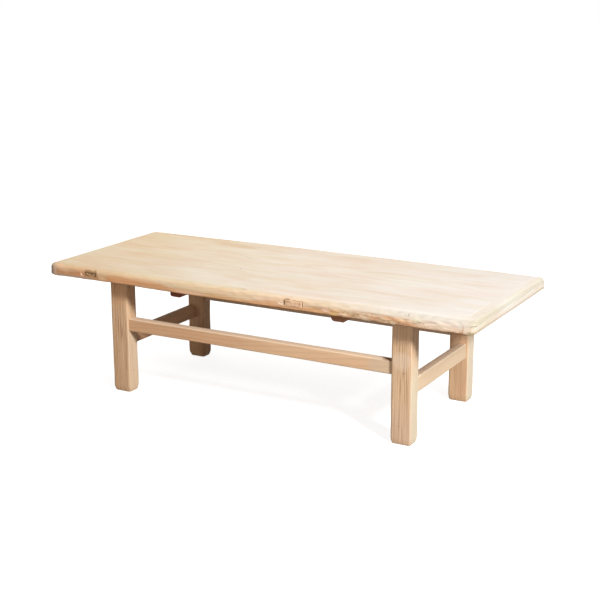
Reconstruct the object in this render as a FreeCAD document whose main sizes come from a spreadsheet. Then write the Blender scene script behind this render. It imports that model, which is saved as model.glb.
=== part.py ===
import FreeCAD, Part
import os
import re

import Sketcher

# A low table of pale old elm: three boards held between two end caps, on four legs joined by rails.
# The origin is on the floor under the middle of the top. X runs along the table and Z is up.

SIZES = {
    # The table over all
    "top_length": 1525,
    "top_width": 612,
    "top_thickness": 46,
    "table_height": 430,
    # The boards of the top, and the rounding that wear has left on its edges and corners
    "front_board_width": 180,
    "back_board_width": 196,
    "end_cap_width": 37,
    "edge_round": 14,
    # Bamboo pins that join board to board
    "board_pin_diameter": 7,
    "board_pin_length": 56,
    "board_pin_spacing": 350,
    # The tongue on the end of every board, and the longer tenon in the middle of it
    "tongue_thickness": 14,
    "tongue_length": 12,
    "tongue_setback": 24,
    "cap_tenon_length": 25,
    "cap_tenon_width": 64,
    # Legs
    "end_overhang": 212.5,
    "side_overhang": 54,
    "leg_width": 68,
    "leg_depth": 53,
    "leg_round": 4,
    "foot_chamfer": 3,
    # The tenon on top of a leg, spread along the table by a hidden wedge
    "leg_tenon_width": 41,
    "leg_tenon_depth": 27,
    "leg_tenon_height": 30,
    "leg_tenon_spread": 1.5,
    "wedge_height": 22,
    "wedge_thick_end": 6,
    "wedge_thin_end": 1.5,
    # Long rails, front and back
    "rail_setback": 8,
    "rail_round": 2.5,
    "long_rail_underside": 214,
    "long_rail_height": 43,
    "long_rail_thickness": 30,
    "long_tenon_length": 42,
    "long_tenon_height": 33,
    "long_tenon_thickness": 14,
    # Side rails, lower, so that their mortises miss those of the long rails
    "side_rail_underside": 151,
    "left_rail_height": 44,
    "right_rail_height": 50,
    "side_rail_thickness": 29,
    "side_tenon_length": 34,
    "side_tenon_height": 32,
    "side_tenon_thickness": 12,
    # Bamboo pins that lock the rail tenons, driven from the inner faces of the legs
    "rail_pin_diameter": 6,
    "rail_pin_inset": 16,
    "rail_pin_blind": 10,
    # Battens that slide from the back into dovetail housings under the boards, the right one larger
    "left_batten_offset": 302,
    "left_batten_width": 39,
    "left_batten_drop": 33,
    "right_batten_offset": 295,
    "right_batten_width": 50,
    "right_batten_drop": 37,
    "batten_round": 6,
    "batten_front_inset": 76,
    "batten_back_inset": 18,
    "tail_depth": 12,
    "tail_root_width": 25,
    "tail_flare": 4,
    # Two mortises in the front edge, left from the board's earlier use, and the wood in them
    "old_mortise_width": 64,
    "old_mortise_height": 17,
    "old_mortise_depth": 24,
    "old_mortise_inset": 176.5,
    "old_mortise_spacing": 766,
    "plug_gap": 2.5,
    "stub_recess": 5,
    # Space left at the end of a blind tenon, and how far a cut runs past a face
    "tenon_end_gap": 1.5,
    "overrun": 5,
}
PINS_PER_JOINT = 4

document = FreeCAD.newDocument("kang_table")
sheet = document.addObject("Spreadsheet::Sheet", "sizes")
for row, (alias, number) in enumerate(SIZES.items(), start=1):
    sheet.set(f"A{row}", alias)
    sheet.set(f"B{row}", str(number))
    sheet.setAlias(f"B{row}", alias)
document.recompute()

# Lengths and places that follow from the sizes, in their words.
HALF_LENGTH = "(top_length / 2)"
HALF_WIDTH = "(top_width / 2)"
UNDERSIDE = "(table_height - top_thickness)"
MID_THICKNESS = "(top_thickness / 2)"
BOARD_END = f"({HALF_LENGTH} - end_cap_width)"
FRONT_SEAM = f"(front_board_width - {HALF_WIDTH})"
BACK_SEAM = f"({HALF_WIDTH} - back_board_width)"
LEG_X = f"({HALF_LENGTH} - end_overhang - leg_width / 2)"
LEG_Y = f"({HALF_WIDTH} - side_overhang - leg_depth / 2)"
LONG_RAIL_Y = f"({LEG_Y} + leg_depth / 2 - rail_setback - long_rail_thickness / 2)"
SIDE_RAIL_X = f"({LEG_X} + leg_width / 2 - rail_setback - side_rail_thickness / 2)"
BATTEN_FRONT = f"(batten_front_inset - {HALF_WIDTH})"
BATTEN_BACK = f"({HALF_WIDTH} - batten_back_inset)"
TAIL_TOP_WIDTH = "(tail_root_width + 2 * tail_flare)"
SPREAD_TOP_WIDTH = "(leg_tenon_width + 2 * leg_tenon_spread)"
LONG_PIN_LENGTH = "(leg_depth - rail_pin_blind)"
SIDE_PIN_LENGTH = "(leg_width - rail_pin_blind)"
LEFT_MORTISE = f"(old_mortise_inset - {HALF_LENGTH})"
RIGHT_MORTISE = f"({LEFT_MORTISE} + old_mortise_spacing)"
PLUG_WIDTH = "(old_mortise_width - 2 * plug_gap)"


def expression(words):
    """The expression that reads every size named in the words from the sheet."""
    return re.sub(r"[a-z_]+", lambda word: f"sizes.{word.group()}", words)


def value(words):
    return float(sheet.evalExpression(expression(words)))


def signed(sign, words):
    return f"({words})" if sign > 0 else f"(-({words}))"


def span(sign, near, far):
    """A stretch from near to far along an axis, or its mirror image, lowest end first."""
    return (signed(sign, near), signed(sign, far)) if sign > 0 else (signed(sign, far), signed(sign, near))


def by_end(end, size):
    """The size of that name which belongs to the left or the right end of the table."""
    return f"left_{size}" if end < 0 else f"right_{size}"


def centred(middle, width):
    return (f"({middle} - {width} / 2)", f"({middle} + {width} / 2)")


def new_body(name, x="0", y="0", z="0"):
    body = document.addObject("PartDesign::Body", name)
    body.Label = name
    for axis, place in zip("xyz", (x, y, z)):
        body.setExpression(f"Placement.Base.{axis}", expression(place))
    return body


# The side of each origin plane that its sketches look out of.
NORMALS = {"XY_Plane": 1, "XZ_Plane": -1, "YZ_Plane": 1}


def new_sketch(body, name, plane, stretch):
    """A sketch across the stretch, on the side that its pad or pocket starts from."""
    sketch = body.newObject("Sketcher::SketchObject", f"{name}_sketch")
    origin_plane = next(item for item in body.Origin.OriginFeatures if item.Role == plane)
    sketch.AttachmentSupport = [(origin_plane, "")]
    sketch.MapMode = "FlatFace"
    start = stretch[0] if NORMALS[plane] > 0 else f"-({stretch[1]})"
    sketch.setExpression("AttachmentOffset.Base.z", expression(start))
    return sketch


def hold(sketch, geometry, point, place):
    """Hold a point of the sketch at its place, given along the sketch's two axes."""
    for kind, axis, words in zip(("DistanceX", "DistanceY"), (-2, -1), place):
        distance = value(words)
        if distance == 0:
            sketch.addConstraint(Sketcher.Constraint("PointOnObject", geometry, point, axis))
        else:
            constraint = Sketcher.Constraint(kind, -1, 1, geometry, point, distance)
            number = sketch.addConstraint(constraint)
            sketch.setExpression(f"Constraints[{number}]", expression(words))


def draw_outline(sketch, corners):
    points = [FreeCAD.Vector(value(along), value(up), 0) for along, up in corners]
    lines = [Part.LineSegment(start, end) for start, end in zip(points, points[1:] + points[:1])]
    sketch.addGeometry(lines)
    for line in range(len(lines)):
        following = (line + 1) % len(lines)
        sketch.addConstraint(Sketcher.Constraint("Coincident", line, 2, following, 1))
    for line, corner in enumerate(corners):
        hold(sketch, line, 1, corner)


def draw_circles(sketch, diameter, centres):
    upright = FreeCAD.Vector(0, 0, 1)
    for number, centre in enumerate(centres):
        middle = FreeCAD.Vector(value(centre[0]), value(centre[1]), 0)
        sketch.addGeometry(Part.Circle(middle, upright, value(diameter) / 2))
        width = sketch.addConstraint(Sketcher.Constraint("Diameter", number, value(diameter)))
        sketch.setExpression(f"Constraints[{width}]", expression(diameter))
        hold(sketch, number, 3, centre)


def extrude(body, kind, name, sketch, stretch):
    """Pad or pocket the sketch through its stretch, and see that the solid grows or shrinks."""
    before = body.Shape.Volume if body.Tip else 0
    feature = body.newObject(f"PartDesign::{kind}", name)
    feature.Profile = sketch
    feature.Reversed = kind == "Pocket"
    feature.setExpression("Length", expression(f"{stretch[1]} - {stretch[0]}"))
    document.recompute()
    growth = body.Shape.Volume - before
    if growth == 0 or (growth > 0) != (kind == "Pad"):
        raise RuntimeError(f"{body.Label}: {name} changed the volume by {growth}")


def pad(body, name, plane, corners, stretch):
    sketch = new_sketch(body, name, plane, stretch)
    draw_outline(sketch, corners)
    extrude(body, "Pad", name, sketch, stretch)


def pocket(body, name, plane, corners, stretch):
    sketch = new_sketch(body, name, plane, stretch)
    draw_outline(sketch, corners)
    extrude(body, "Pocket", name, sketch, stretch)


def bore(body, name, plane, diameter, centres, stretch):
    sketch = new_sketch(body, name, plane, stretch)
    draw_circles(sketch, diameter, centres)
    extrude(body, "Pocket", name, sketch, stretch)


def rectangle(across, up):
    return [(across[0], up[0]), (across[1], up[0]), (across[1], up[1]), (across[0], up[1])]


def dovetail(middle, root_width, top_width, up):
    """An even-sided outline, root_width at its lower end and top_width at its upper one."""
    root = centred(middle, root_width)
    top = centred(middle, top_width)
    return [(root[0], up[0]), (root[1], up[0]), (top[1], up[1]), (top[0], up[1])]


def dress_edges(body, kind, name, setting, size, chosen):
    """Put a fillet or a chamfer on the edges of the solid so far that the chosen test picks out."""
    base = body.Tip
    edges = [f"Edge{number}" for number, edge in enumerate(base.Shape.Edges, start=1) if chosen(edge)]
    feature = body.newObject(f"PartDesign::{kind}", name)
    feature.Base = (base, edges)
    feature.setExpression(setting, expression(size))
    document.recompute()


def round_edges(body, name, radius, chosen):
    dress_edges(body, "Fillet", name, "Radius", radius, chosen)


def chamfer_edges(body, name, size, chosen):
    dress_edges(body, "Chamfer", name, "Size", size, chosen)


def runs_along(edge, axis):
    """Whether the edge lies nearer to the axis than across it."""
    return abs(edge.tangentAt(edge.FirstParameter).dot(axis)) > 0.5


ALONG_X = FreeCAD.Vector(1, 0, 0)
ALONG_Y = FreeCAD.Vector(0, 1, 0)
ALONG_Z = FreeCAD.Vector(0, 0, 1)
TONGUE_HEIGHTS = centred(MID_THICKNESS, "tongue_thickness")
MORTISE_HEIGHTS = centred(MID_THICKNESS, "old_mortise_height")


def pin_places():
    """Where the pins of one board joint stand along the table, and their height in the boards."""
    middle = (PINS_PER_JOINT - 1) / 2
    return [(f"board_pin_spacing * {number - middle}", MID_THICKNESS) for number in range(PINS_PER_JOINT)]


def top_board(name, front, back, outer_sides=(), seams=()):
    """One board, between the two end caps; outer_sides says which long edges are the table's own."""
    board = new_body(name, z=UNDERSIDE)
    ends = (f"(-{BOARD_END})", BOARD_END)
    pad(board, "plank", "XY_Plane", rectangle(ends, (front, back)), ("0", "top_thickness"))
    middle = (value(front) + value(back)) / 2
    for side in outer_sides:
        round_edges(board, "worn_edge", "edge_round",
                    lambda edge: runs_along(edge, ALONG_X) and side * (edge.CenterOfMass.y - middle) > 0)
    tongue_front = f"({front} + tongue_setback)" if -1 in outer_sides else front
    tongue_back = f"({back} - tongue_setback)" if 1 in outer_sides else back
    tenon = centred(f"(({front} + {back}) / 2)", "cap_tenon_width")
    for end in (-1, 1):
        tongue = span(end, BOARD_END, f"{BOARD_END} + tongue_length")
        pad(board, "tongue", "XY_Plane", rectangle(tongue, (tongue_front, tongue_back)), TONGUE_HEIGHTS)
        deeper = span(end, f"{BOARD_END} + tongue_length", f"{BOARD_END} + cap_tenon_length")
        pad(board, "cap_tenon", "XY_Plane", rectangle(deeper, tenon), TONGUE_HEIGHTS)
        centre = signed(end, by_end(end, "batten_offset"))
        housing = dovetail(centre, "tail_root_width", TAIL_TOP_WIDTH, ("0", "tail_depth"))
        start = BATTEN_FRONT if -1 in outer_sides else f"({front} - overrun)"
        pocket(board, "batten_housing", "XZ_Plane", housing, (start, f"({back} + overrun)"))
    for side in seams:
        seam = back if side > 0 else front
        bore(board, "pin_holes", "XZ_Plane", "board_pin_diameter", pin_places(),
             span(side, f"{signed(side, seam)} - board_pin_length / 2", f"{signed(side, seam)}"))
    for side in outer_sides:
        across = centred(signed(side, LEG_Y), "leg_tenon_depth")
        for end in (-1, 1):
            centre = signed(end, LEG_X)
            mortise = dovetail(centre, "leg_tenon_width", SPREAD_TOP_WIDTH, ("0", "leg_tenon_height"))
            pocket(board, "leg_mortise", "XZ_Plane", mortise, across)
    return board


def end_cap(name, end):
    """The cross-grained cap over the board ends, grooved for their tongues and tenons."""
    cap = new_body(name, x=signed(end, BOARD_END), z=UNDERSIDE)
    width = span(end, "0", "end_cap_width")
    pad(cap, "bar", "XY_Plane", rectangle(width, (f"(-{HALF_WIDTH})", HALF_WIDTH)), ("0", "top_thickness"))
    round_edges(cap, "worn_edges", "edge_round",
                lambda edge: end * edge.CenterOfMass.x > value("end_cap_width") / 4)
    groove = span(end, "-overrun", "tongue_length + tenon_end_gap")
    groove_length = (f"(tongue_setback - {HALF_WIDTH})", f"({HALF_WIDTH} - tongue_setback)")
    pocket(cap, "groove", "XY_Plane", rectangle(groove, groove_length), TONGUE_HEIGHTS)
    mortise = span(end, "0", "cap_tenon_length + tenon_end_gap")
    seams = [f"(-{HALF_WIDTH})", FRONT_SEAM, BACK_SEAM, HALF_WIDTH]
    for front, back in zip(seams, seams[1:]):
        tenon = centred(f"(({front} + {back}) / 2)", "cap_tenon_width")
        pocket(cap, "mortise", "XY_Plane", rectangle(mortise, tenon), TONGUE_HEIGHTS)
    return cap


def batten(name, end):
    """A cross bar under the top, with a dovetail tail that slides along the boards' housings."""
    bar = new_body(name, x=signed(end, by_end(end, "batten_offset")), z=UNDERSIDE)
    length = (BATTEN_FRONT, BATTEN_BACK)
    drop = by_end(end, "batten_drop")
    section = rectangle(centred("0", by_end(end, "batten_width")), (f"-{drop}", "0"))
    pad(bar, "bar", "XZ_Plane", section, length)
    round_edges(bar, "lower_edges", "batten_round",
                lambda edge: runs_along(edge, ALONG_Y) and edge.CenterOfMass.z < -value(drop) / 2)
    tail = dovetail("0", "tail_root_width", TAIL_TOP_WIDTH, ("0", "tail_depth"))
    pad(bar, "tail", "XZ_Plane", tail, length)
    return bar


def leg(name, end, side):
    """A leg, with its inner faces towards the middle of the table from its own end and side."""
    post = new_body(name, x=signed(end, LEG_X), y=signed(side, LEG_Y))
    section = rectangle(centred("0", "leg_width"), centred("0", "leg_depth"))
    pad(post, "post", "XY_Plane", section, ("0", UNDERSIDE))
    round_edges(post, "worn_arrises", "leg_round", lambda edge: runs_along(edge, ALONG_Z))
    chamfer_edges(post, "foot", "foot_chamfer", lambda edge: edge.BoundBox.ZMax < value(UNDERSIDE) / 2)
    tenon_top = f"({UNDERSIDE} + leg_tenon_height)"
    tenon = dovetail("0", "leg_tenon_width", SPREAD_TOP_WIDTH, (UNDERSIDE, tenon_top))
    pad(post, "top_tenon", "XZ_Plane", tenon, centred("0", "leg_tenon_depth"))
    kerf = dovetail("0", "wedge_thin_end", "wedge_thick_end", (f"({tenon_top} - wedge_height)", tenon_top))
    pocket(post, "wedge_kerf", "XZ_Plane", kerf, centred("0", "leg_tenon_depth"))

    long_y = signed(side, f"{LONG_RAIL_Y} - {LEG_Y}")
    long_z = "(long_rail_underside + long_rail_height / 2)"
    mouth = rectangle(centred(long_y, "long_tenon_thickness"), centred(long_z, "long_tenon_height"))
    depth = span(end, "-leg_width / 2", "long_tenon_length + tenon_end_gap - leg_width / 2")
    pocket(post, "long_rail_mortise", "YZ_Plane", mouth, depth)
    hole = (signed(end, "rail_pin_inset - leg_width / 2"), long_z)
    depth = span(side, "-leg_depth / 2", f"{LONG_PIN_LENGTH} - leg_depth / 2")
    bore(post, "long_rail_pin_hole", "XZ_Plane", "rail_pin_diameter", [hole], depth)

    side_x = signed(end, f"{SIDE_RAIL_X} - {LEG_X}")
    side_z = f"(side_rail_underside + {by_end(end, 'rail_height')} / 2)"
    mouth = rectangle(centred(side_x, "side_tenon_thickness"), centred(side_z, "side_tenon_height"))
    depth = span(side, "-leg_depth / 2", "side_tenon_length + tenon_end_gap - leg_depth / 2")
    pocket(post, "side_rail_mortise", "XZ_Plane", mouth, depth)
    hole = (signed(side, "rail_pin_inset - leg_depth / 2"), side_z)
    depth = span(end, "-leg_width / 2", f"{SIDE_PIN_LENGTH} - leg_width / 2")
    bore(post, "side_rail_pin_hole", "YZ_Plane", "rail_pin_diameter", [hole], depth)
    return post


def long_rail(name, side):
    rail = new_body(name, y=signed(side, LONG_RAIL_Y), z="long_rail_underside")
    shoulder = f"({LEG_X} - leg_width / 2)"
    section = rectangle(centred("0", "long_rail_thickness"), ("0", "long_rail_height"))
    pad(rail, "bar", "YZ_Plane", section, (f"(-{shoulder})", shoulder))
    round_edges(rail, "worn_arrises", "rail_round", lambda edge: runs_along(edge, ALONG_X))
    tenon_heights = centred("(long_rail_height / 2)", "long_tenon_height")
    tenon = rectangle(centred("0", "long_tenon_thickness"), tenon_heights)
    for end in (-1, 1):
        pad(rail, "tenon", "YZ_Plane", tenon, span(end, shoulder, f"{shoulder} + long_tenon_length"))
        hole = (signed(end, f"{shoulder} + rail_pin_inset"), "(long_rail_height / 2)")
        bore(rail, "pin_hole", "XZ_Plane", "rail_pin_diameter", [hole], centred("0", "long_rail_thickness"))
    return rail


def side_rail(name, end):
    rail = new_body(name, x=signed(end, SIDE_RAIL_X), z="side_rail_underside")
    shoulder = f"({LEG_Y} - leg_depth / 2)"
    height = by_end(end, "rail_height")
    section = rectangle(centred("0", "side_rail_thickness"), ("0", height))
    pad(rail, "bar", "XZ_Plane", section, (f"(-{shoulder})", shoulder))
    round_edges(rail, "worn_arrises", "rail_round", lambda edge: runs_along(edge, ALONG_Y))
    tenon_heights = centred(f"({height} / 2)", "side_tenon_height")
    tenon = rectangle(centred("0", "side_tenon_thickness"), tenon_heights)
    for side in (-1, 1):
        pad(rail, "tenon", "XZ_Plane", tenon, span(side, shoulder, f"{shoulder} + side_tenon_length"))
        hole = (signed(side, f"{shoulder} + rail_pin_inset"), f"({height} / 2)")
        bore(rail, "pin_hole", "YZ_Plane", "rail_pin_diameter", [hole], centred("0", "side_rail_thickness"))
    return rail


def mortise_filling(name, middle, recess):
    """A block of wood in one of the old mortises, short of its ends by a gap on either side."""
    block = new_body(name, x=middle, z=UNDERSIDE)
    mouth = rectangle(centred("0", PLUG_WIDTH), MORTISE_HEIGHTS)
    depth = (f"({recess} - {HALF_WIDTH})", f"(old_mortise_depth - {HALF_WIDTH})")
    pad(block, "block", "XZ_Plane", mouth, depth)
    return block


def group(name, pieces):
    """Like pieces that share one name, as a compound of separate solids."""
    together = document.addObject("Part::Compound", name)
    together.Label = name
    together.Links = pieces
    document.recompute()
    return together


def pin(diameter, length, start, turn):
    """A bamboo pin from its start, along the direction that the turn gives."""
    rod = document.addObject("Part::Cylinder", "pin")
    rod.setExpression("Radius", expression(f"{diameter} / 2"))
    rod.setExpression("Height", expression(length))
    rod.Placement = FreeCAD.Placement(FreeCAD.Vector(), turn)
    for axis, place in zip("xyz", start):
        rod.setExpression(f"Placement.Base.{axis}", expression(place))
    return rod


def wedge(end, side):
    """The wedge in a leg's tenon, thick end up against the bottom of the mortise."""
    piece = document.addObject("Part::Wedge", "wedge")
    depth = centred("0", "leg_tenon_depth")
    thin = centred("0", "wedge_thin_end")
    thick = centred("0", "wedge_thick_end")
    edges = {"Xmin": thin[0], "Xmax": thin[1], "X2min": thick[0], "X2max": thick[1],
             "Ymin": "0", "Ymax": "wedge_height",
             "Zmin": depth[0], "Zmax": depth[1], "Z2min": depth[0], "Z2max": depth[1]}
    for edge, words in edges.items():
        piece.setExpression(edge, expression(words))
    piece.Placement = FreeCAD.Placement(FreeCAD.Vector(), FreeCAD.Rotation(ALONG_Y, ALONG_Z))
    place = (signed(end, LEG_X), signed(side, LEG_Y), f"{UNDERSIDE} + leg_tenon_height - wedge_height")
    for axis, words in zip("xyz", place):
        piece.setExpression(f"Placement.Base.{axis}", expression(words))
    return piece


front_board = top_board("top_board_front", f"(-{HALF_WIDTH})", FRONT_SEAM,
                        outer_sides=(-1,), seams=(1,))
parts = [
    front_board,
    top_board("top_board_middle", FRONT_SEAM, BACK_SEAM, seams=(-1, 1)),
    top_board("top_board_back", BACK_SEAM, HALF_WIDTH, outer_sides=(1,), seams=(-1,)),
    end_cap("end_cap_left", -1),
    end_cap("end_cap_right", 1),
    batten("batten_left", -1),
    batten("batten_right", 1),
    leg("leg_front_left", -1, -1),
    leg("leg_front_right", 1, -1),
    leg("leg_back_left", -1, 1),
    leg("leg_back_right", 1, 1),
    long_rail("long_rail_front", -1),
    long_rail("long_rail_back", 1),
    side_rail("side_rail_left", -1),
    side_rail("side_rail_right", 1),
]

# The two old mortises in the front edge, one holding a sheared stub and one a flush plug.
for place in (LEFT_MORTISE, RIGHT_MORTISE):
    mouth = rectangle(centred(place, "old_mortise_width"), MORTISE_HEIGHTS)
    depth = (f"(-{HALF_WIDTH} - overrun)", f"(old_mortise_depth - {HALF_WIDTH})")
    pocket(front_board, "old_mortise", "XZ_Plane", mouth, depth)
parts.append(mortise_filling("mortise_stub", LEFT_MORTISE, "stub_recess"))
parts.append(mortise_filling("mortise_plug", RIGHT_MORTISE, "0"))

corners = [(end, side) for end in (-1, 1) for side in (-1, 1)]
TO_BACK = FreeCAD.Rotation(ALONG_Z, ALONG_Y)
TO_RIGHT = FreeCAD.Rotation(ALONG_Z, ALONG_X)

INNER_X = f"({LEG_X} - leg_width / 2)"
INNER_Y = f"({LEG_Y} - leg_depth / 2)"

board_pins = []
for seam in (FRONT_SEAM, BACK_SEAM):
    for along, height in pin_places():
        start = (along, f"{seam} - board_pin_length / 2", f"{UNDERSIDE} + {height}")
        board_pins.append(pin("board_pin_diameter", "board_pin_length", start, TO_BACK))
parts.append(group("board_pins", board_pins))

long_rail_pins = []
side_rail_pins = []
for end, side in corners:
    start = (signed(end, f"{INNER_X} + rail_pin_inset"),
             span(side, INNER_Y, f"{INNER_Y} + {LONG_PIN_LENGTH}")[0],
             "long_rail_underside + long_rail_height / 2")
    long_rail_pins.append(pin("rail_pin_diameter", LONG_PIN_LENGTH, start, TO_BACK))
    start = (span(end, INNER_X, f"{INNER_X} + {SIDE_PIN_LENGTH}")[0],
             signed(side, f"{INNER_Y} + rail_pin_inset"),
             f"side_rail_underside + {by_end(end, 'rail_height')} / 2")
    side_rail_pins.append(pin("rail_pin_diameter", SIDE_PIN_LENGTH, start, TO_RIGHT))
parts.append(group("long_rail_pins", long_rail_pins))
parts.append(group("side_rail_pins", side_rail_pins))
parts.append(group("leg_tenon_wedges", [wedge(end, side) for end, side in corners]))

document.recompute()
failed = [item.Label for item in document.Objects if {"Invalid", "Error"} & set(item.State)]
failed += [part.Label for part in parts if part.Shape.isNull() or not part.Shape.isValid()]
if failed:
    raise RuntimeError(f"These did not build: {', '.join(failed)}")

os.makedirs("parts", exist_ok=True)
for part in parts:
    part.Shape.exportStep(f"parts/{part.Label}.step")
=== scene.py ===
import math
import random

import bmesh
import bpy
from mathutils import Euler, Matrix, Vector, noise


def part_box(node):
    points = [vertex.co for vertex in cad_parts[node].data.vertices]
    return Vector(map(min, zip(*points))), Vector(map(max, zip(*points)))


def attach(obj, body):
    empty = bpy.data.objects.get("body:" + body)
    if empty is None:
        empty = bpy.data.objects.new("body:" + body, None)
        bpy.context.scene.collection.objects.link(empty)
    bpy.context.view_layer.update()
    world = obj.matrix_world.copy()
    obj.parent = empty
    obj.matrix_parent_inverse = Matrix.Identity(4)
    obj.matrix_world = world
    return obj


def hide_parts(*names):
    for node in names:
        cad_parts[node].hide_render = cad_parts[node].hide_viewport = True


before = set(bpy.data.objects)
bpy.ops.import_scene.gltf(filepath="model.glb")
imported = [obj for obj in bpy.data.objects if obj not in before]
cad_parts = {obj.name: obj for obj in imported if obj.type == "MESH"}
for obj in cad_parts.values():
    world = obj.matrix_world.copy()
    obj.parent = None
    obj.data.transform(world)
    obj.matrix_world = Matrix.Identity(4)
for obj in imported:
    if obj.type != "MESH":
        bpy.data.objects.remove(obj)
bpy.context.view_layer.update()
scene = bpy.context.scene


# The camera of the photograph. A long lens, a little above the table and off its right end, tilted
# down and turned to the left.
camera_data = bpy.data.cameras.new("camera")
camera_data.sensor_width = 36
camera_data.lens = 74.16
camera_place = (1.947, -3.426, 1.3635)
pitch, yaw, roll = (math.radians(degrees) for degrees in (14.75, 29.18, -0.13))
aim = Euler((math.pi / 2 - pitch, 0, yaw)).to_matrix() @ Matrix.Rotation(roll, 3, "Z")
camera = bpy.data.objects.new("camera", camera_data)
camera.matrix_world = Matrix.Translation(camera_place) @ aim.to_4x4()
scene.collection.objects.link(camera)
scene.camera = camera
scene.view_settings.view_transform = "Standard"


# Soft studio light. A softbox high in front on the right, a wide dim one overhead on the left, and
# a weak warm one low in front. The room is dim and warm to the table, and white to the camera.
def softbox(name, place, target, width, height, power, colour):
    lamp = bpy.data.lights.new(name, "AREA")
    lamp.shape = "RECTANGLE"
    lamp.size = width
    lamp.size_y = height
    lamp.energy = power
    lamp.color = colour
    holder = bpy.data.objects.new(name, lamp)
    holder.location = place
    holder.rotation_euler = (Vector(target) - Vector(place)).to_track_quat("-Z", "Y").to_euler()
    scene.collection.objects.link(holder)


def put(tree, kind, sockets=None, **settings):
    """Add a node, with each socket set to a number or colour, or joined to another's output."""
    made = tree.nodes.new(f"ShaderNode{kind}")
    for name, setting in settings.items():
        setattr(made, name, setting)
    for socket, source in (sockets or {}).items():
        if isinstance(source, bpy.types.NodeSocket):
            tree.links.new(source, made.inputs[socket])
        else:
            made.inputs[socket].default_value = source
    return made


def bare_tree(holder):
    """The emptied node tree of a material or a world."""
    holder.use_nodes = True
    holder.node_tree.nodes.clear()
    return holder.node_tree


def seen_directly(tree):
    """1 for what the camera sees, also by way of a mirror or through glass, and 0 for light."""
    path = put(tree, "LightPath")
    seen = path.outputs["Is Camera Ray"]
    for way in ("Is Glossy Ray", "Is Transmission Ray"):
        seen = put(tree, "Math", {0: seen, 1: path.outputs[way]}, operation="MAXIMUM").outputs[0]
    return seen


softbox("light_right", place=(4.55, -2.65, 3.45), target=(0.1, 0, 0.3),
        width=0.9, height=0.9, power=450, colour=(1, 0.985, 0.955))
softbox("light_overhead", place=(-1.3, 0.5, 2.3), target=(-0.4, 0, 0.43),
        width=1.6, height=1.6, power=19, colour=(1, 0.99, 0.97))
softbox("light_front", place=(-1.5, -4, 1.6), target=(-0.2, 0, 0.3),
        width=1.6, height=1.2, power=18, colour=(1, 0.82, 0.62))

studio = bpy.data.worlds.new("studio")
tree = bare_tree(studio)
room = put(tree, "Background", {"Color": (1, 0.85, 0.70, 1), "Strength": 0.13})
white = put(tree, "Background", {"Color": (1, 1, 1, 1), "Strength": 1})
shown = put(tree, "MixShader", {0: seen_directly(tree), 1: room.outputs[0], 2: white.outputs[0]})
put(tree, "OutputWorld", {"Surface": shown.outputs[0]})
scene.world = studio


# The floor. A wide sheet of white studio paper, which keeps the table's soft shadow and fades to
# pure white further out.
floor_reach = 30
fade_start, fade_end = 1.0, 2.6
glow_near, glow_far = 0.89, 1.0
paper_grey = (0.42, 0.42, 0.42, 1)

bm = bmesh.new()
bmesh.ops.create_grid(bm, x_segments=1, y_segments=1, size=floor_reach)
floor_mesh = bpy.data.meshes.new("floor")
bm.to_mesh(floor_mesh)
bm.free()
floor = bpy.data.objects.new("floor", floor_mesh)
scene.collection.objects.link(floor)

paper = bpy.data.materials.new("studio_paper")
tree = bare_tree(paper)
paper_place = put(tree, "TexCoord").outputs["Object"]
paper_distance = put(tree, "VectorMath", {0: paper_place}, operation="LENGTH").outputs["Value"]
paper_glow = put(tree, "MapRange", {"Value": paper_distance,
                                    "From Min": fade_start, "From Max": fade_end,
                                    "To Min": glow_near, "To Max": glow_far},
                 interpolation_type="SMOOTHSTEP")
paper_light = put(tree, "Emission", {"Color": (1, 1, 1, 1),
                                     "Strength": paper_glow.outputs["Result"]})
paper_dark = put(tree, "Emission", {"Color": (0, 0, 0, 1), "Strength": 0})
lift = put(tree, "MixShader", {0: seen_directly(tree),
                               1: paper_dark.outputs[0], 2: paper_light.outputs[0]})
matt = put(tree, "BsdfDiffuse", {"Color": paper_grey})
both = put(tree, "AddShader", {0: matt.outputs[0], 1: lift.outputs[0]})
put(tree, "OutputMaterial", {"Surface": both.outputs[0]})
floor_mesh.materials.append(paper)


# The three boards of the top. Old elm planks, washed pale on top and worn round along the front
# and back edges, with raised grain. They lie edge to edge on hidden pins, between two end caps.
board_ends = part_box("end_cap_left")[1].x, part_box("end_cap_right")[0].x
front_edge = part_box("top_board_front")[0].y
back_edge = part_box("top_board_back")[1].y
mid_level = (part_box("top_board_front")[0].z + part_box("top_board_front")[1].z) / 2
edge_round = 0.014
lower_edge_round = 0.005
edge_round_steps = 8
seam_easing = 0.0003
on_face = 1e-4
board_net = (0.007, 0.0028, 0.0024)
front_board_net = (0.0045, 0.0028, 0.0024)


def along(edge, axis, nearly=0.9):
    """Whether an edge runs along an axis."""
    return abs((edge.verts[0].co - edge.verts[1].co).normalized()[axis]) > nearly


def timber(low, high, arrises, net):
    """A squared timber between two corners. Each of arrises is a test that picks edges, a radius
    and the steps of its rounding. The net is how far apart edges lie along X, Y and Z."""
    bm = bmesh.new()
    box = Matrix.LocRotScale((low + high) / 2, None, high - low)
    bmesh.ops.create_cube(bm, size=1, matrix=box)
    for chosen, radius, steps in arrises:
        edges = [edge for edge in bm.edges
                 if chosen((edge.verts[0].co + edge.verts[1].co) / 2, edge)]
        bmesh.ops.bevel(bm, geom=edges, offset=radius, offset_type="OFFSET", segments=steps,
                        profile=0.5, affect="EDGES", material=-1)
    for axis, spacing in enumerate(net):
        straight = [edge for edge in bm.edges
                    if along(edge, axis, 0.999) and edge.calc_length() > 2 * spacing]
        for edges in rings_of(straight):
            cuts = max(1, round(min(edge.calc_length() for edge in edges) / spacing)) - 1
            if cuts:
                bmesh.ops.subdivide_edges(bm, edges=edges, cuts=cuts, use_grid_fill=True)
    return bm


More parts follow.
